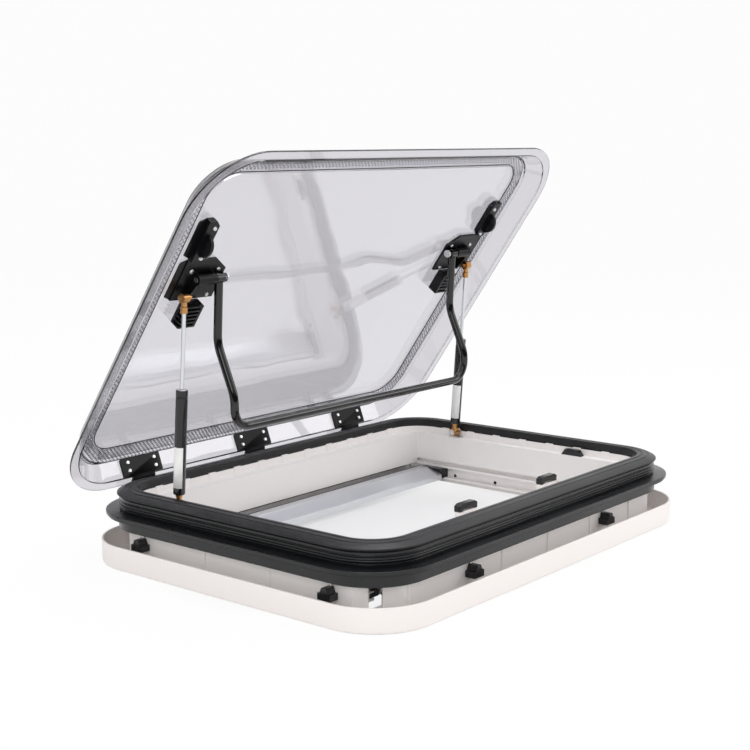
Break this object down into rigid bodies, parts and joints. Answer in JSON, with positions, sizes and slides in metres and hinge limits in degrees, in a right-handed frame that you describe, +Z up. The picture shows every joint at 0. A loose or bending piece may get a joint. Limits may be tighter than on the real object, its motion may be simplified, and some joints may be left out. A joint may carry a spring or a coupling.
{
  "type": "caravan roof window",
  "caption": "Caravan roof window propped open on two gas struts, with a smoked tray-shaped lid, black bail handle, black outer frame, white light well and cream trim.",
  "frame": {"origin": "centre of the four ceiling screw holes in the room face of the trim frame", "axes": "+X along the lid hinge, +Y from the free side to the hinge side, +Z up out of the roof"},
  "size_m": [0.846, 0.6358, 0.6071],
  "materials": {
    "cream_plastic": "fine-grained cream moulding",
    "white_plastic": "white moulding",
    "black_moulding": "satin charcoal moulding",
    "seal_rubber": "soft black seal",
    "smoke_acrylic": "clear acrylic with a light smoke tint",
    "bond_compound": "grey bonding strip",
    "screw_steel": "zinc-plated steel",
    "rod_chrome": "ground and chromed",
    "strut_brass": "turned brass",
    "strut_paint": "gloss black paint",
    "gloss_black_tube": "gloss black coating",
    "bar_aluminium": "satin anodised",
    "screen_cloth": "dark insect net",
    "blind_cloth": "pale blackout cloth"
  },
  "bodies": {
    "frame": {"trim_frame": "cream_plastic", "inner_frame": "white_plastic", "outer_frame": "black_moulding", "rim_seal": "seal_rubber", "roof_gasket": "seal_rubber", "roof_clamps": "black_moulding", "clamp_screws": "screw_steel", "corner_screws": "screw_steel", "screen_roller": "bar_aluminium", "screen_cloth": "screen_cloth", "blind_roller": "bar_aluminium", "blind_cloth": "blind_cloth", "roller_brackets": "white_plastic", "front_catches": "black_moulding", "side_catches": "black_moulding", "side_rail_left": "white_plastic", "side_rail_right": "white_plastic", "strut_foot_left": "screw_steel", "strut_foot_right": "screw_steel", "frame_hinge_left": "black_moulding", "frame_hinge_centre": "black_moulding", "frame_hinge_right": "black_moulding", "hinge_pins": "screw_steel", "rail_plugs": "black_moulding"},
    "lid": {"outer_pane": "smoke_acrylic", "inner_pane": "smoke_acrylic", "bond_strip": "bond_compound", "lid_screws": "screw_steel", "hinge_leaf_left": "black_moulding", "hinge_leaf_centre": "black_moulding", "hinge_leaf_right": "black_moulding", "lid_bracket_left": "black_moulding", "pivot_bolt_left": "screw_steel", "latch_block_left": "black_moulding", "keeper_left": "black_moulding", "lid_bracket_right": "black_moulding", "pivot_bolt_right": "screw_steel", "latch_block_right": "black_moulding", "keeper_right": "black_moulding"},
    "bail": {"bail_handle": "gloss_black_tube"},
    "tube_left": {"strut_tube_left": "strut_paint", "strut_gland_left": "screw_steel", "strut_end_left": "strut_brass"},
    "rod_left": {"strut_rod_left": "rod_chrome", "strut_head_left": "strut_brass"},
    "tube_right": {"strut_tube_right": "strut_paint", "strut_gland_right": "screw_steel", "strut_end_right": "strut_brass"},
    "rod_right": {"strut_rod_right": "rod_chrome", "strut_head_right": "strut_brass"},
    "screen": {"screen_bar": "bar_aluminium", "screen_edge": "seal_rubber", "screen_carriage_left": "black_moulding", "screen_carriage_right": "black_moulding"},
    "blind": {"blind_bar": "bar_aluminium", "blind_carriage_left": "black_moulding", "blind_carriage_right": "black_moulding"}
  },
  "joints": [
    {"name": "lid_hinge", "type": "hinge", "parent": "frame", "child": "lid", "pos_m": [0, 0.322, 0.079], "axis": [-1, 0, 0], "range_deg": [-54.6, 0]},
    {"name": "bail_pivot", "type": "hinge", "parent": "lid", "child": "bail", "pos_m": [0, 0.10365, 0.42682], "axis": [-1, 0, 0], "range_deg": [-29, 50]},
    {"name": "strut_foot_pivot_left", "type": "hinge", "parent": "frame", "child": "tube_left", "pos_m": [-0.337, 0.14, 0.0975], "axis": [-1, 0, 0], "range_deg": [-85.5, 0]},
    {"name": "strut_slide_left", "type": "slide", "parent": "tube_left", "child": "rod_left", "axis": [0, -0.0812, 0.9967], "range_m": [-0.1046, 0]},
    {"name": "strut_foot_pivot_right", "type": "hinge", "parent": "frame", "child": "tube_right", "pos_m": [0.337, 0.14, 0.0975], "axis": [-1, 0, 0], "range_deg": [-85.5, 0]},
    {"name": "strut_slide_right", "type": "slide", "parent": "tube_right", "child": "rod_right", "axis": [0, -0.0812, 0.9967], "range_m": [-0.1046, 0]},
    {"name": "screen_slide", "type": "slide", "parent": "frame", "child": "screen", "axis": [0, 1, 0], "range_m": [-0.348, 0]},
    {"name": "blind_slide", "type": "slide", "parent": "frame", "child": "blind", "axis": [0, 1, 0], "range_m": [0, 0.36]}
  ],
  "couplings": [
    {"joint": "strut_foot_pivot_left", "follows": "lid_hinge", "ratio": 1.5631},
    {"joint": "strut_slide_left", "follows": "lid_hinge", "m_per_rad": 0.10957},
    {"joint": "strut_foot_pivot_right", "follows": "lid_hinge", "ratio": 1.5631},
    {"joint": "strut_slide_right", "follows": "lid_hinge", "m_per_rad": 0.10957}
  ]
}
